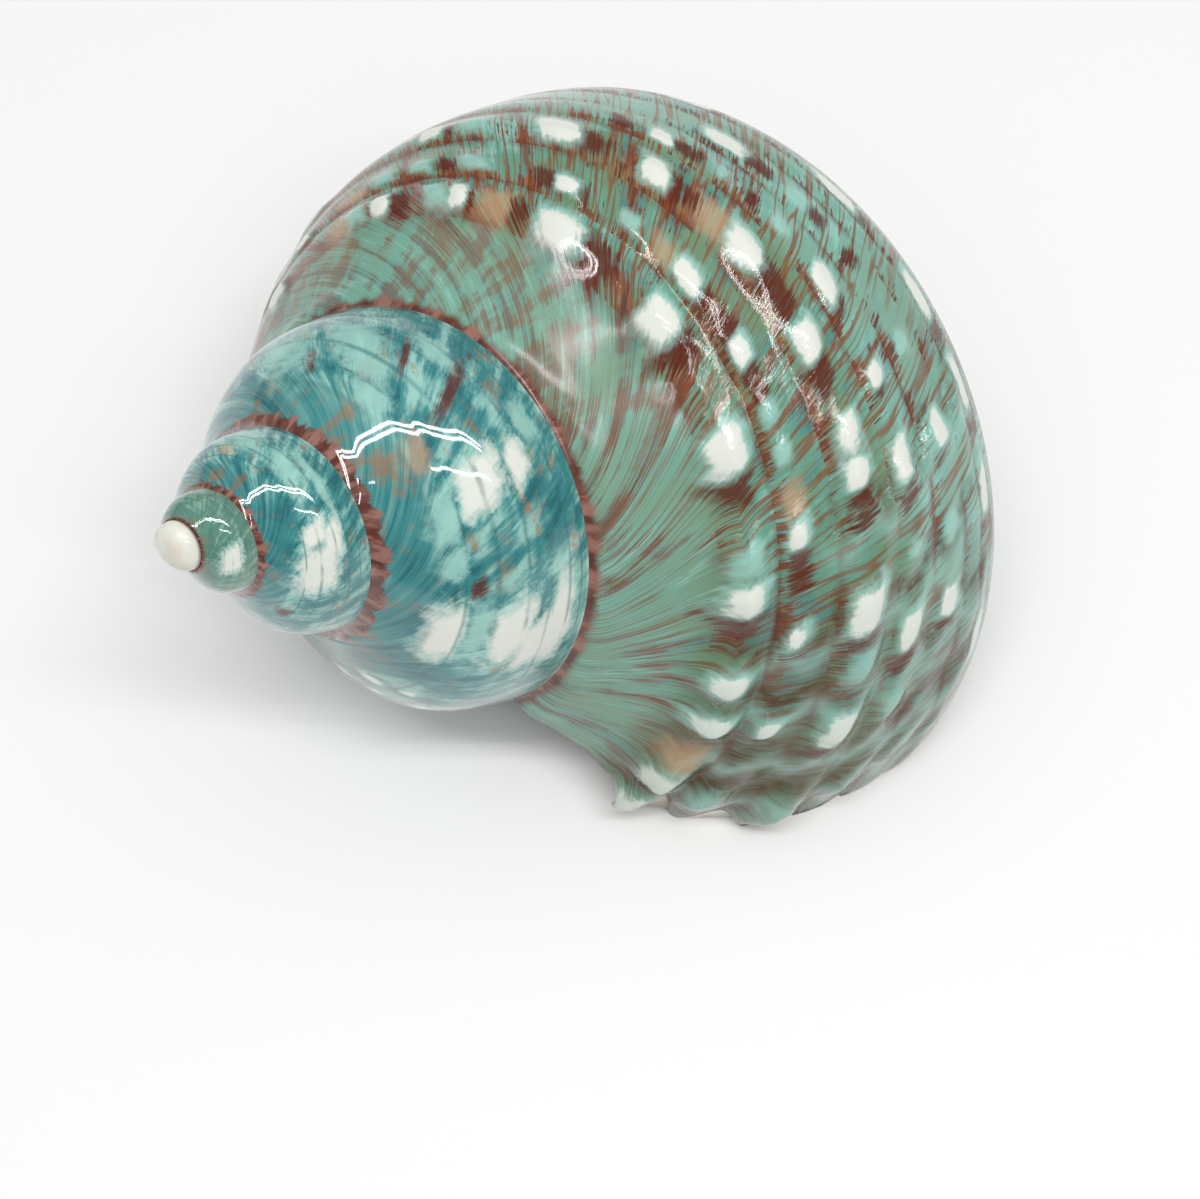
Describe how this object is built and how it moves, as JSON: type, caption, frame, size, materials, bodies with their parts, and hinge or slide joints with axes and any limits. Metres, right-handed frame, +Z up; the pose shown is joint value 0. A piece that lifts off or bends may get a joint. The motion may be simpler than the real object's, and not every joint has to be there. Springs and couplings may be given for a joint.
{
  "type": "turban shell",
  "caption": "Polished turban sea shell with a blue-green spire, white-spotted girdle rows and brown growth lines, hollow behind its round aperture and lying on it.",
  "frame": {"origin": "on the table under the middle of the shell's bounding box, shell lying on its aperture as pictured", "axes": "+X to the right of the picture, +Y away from the viewer, +Z up from the table; the spire points toward -X"},
  "size_m": [0.0794, 0.0694, 0.0497],
  "materials": {
    "polished_shell": "polished natural shell, clear gloss over green, brown and white colouring"
  },
  "bodies": {
    "root": {"shell": "polished_shell"}
  },
  "joints": []
}
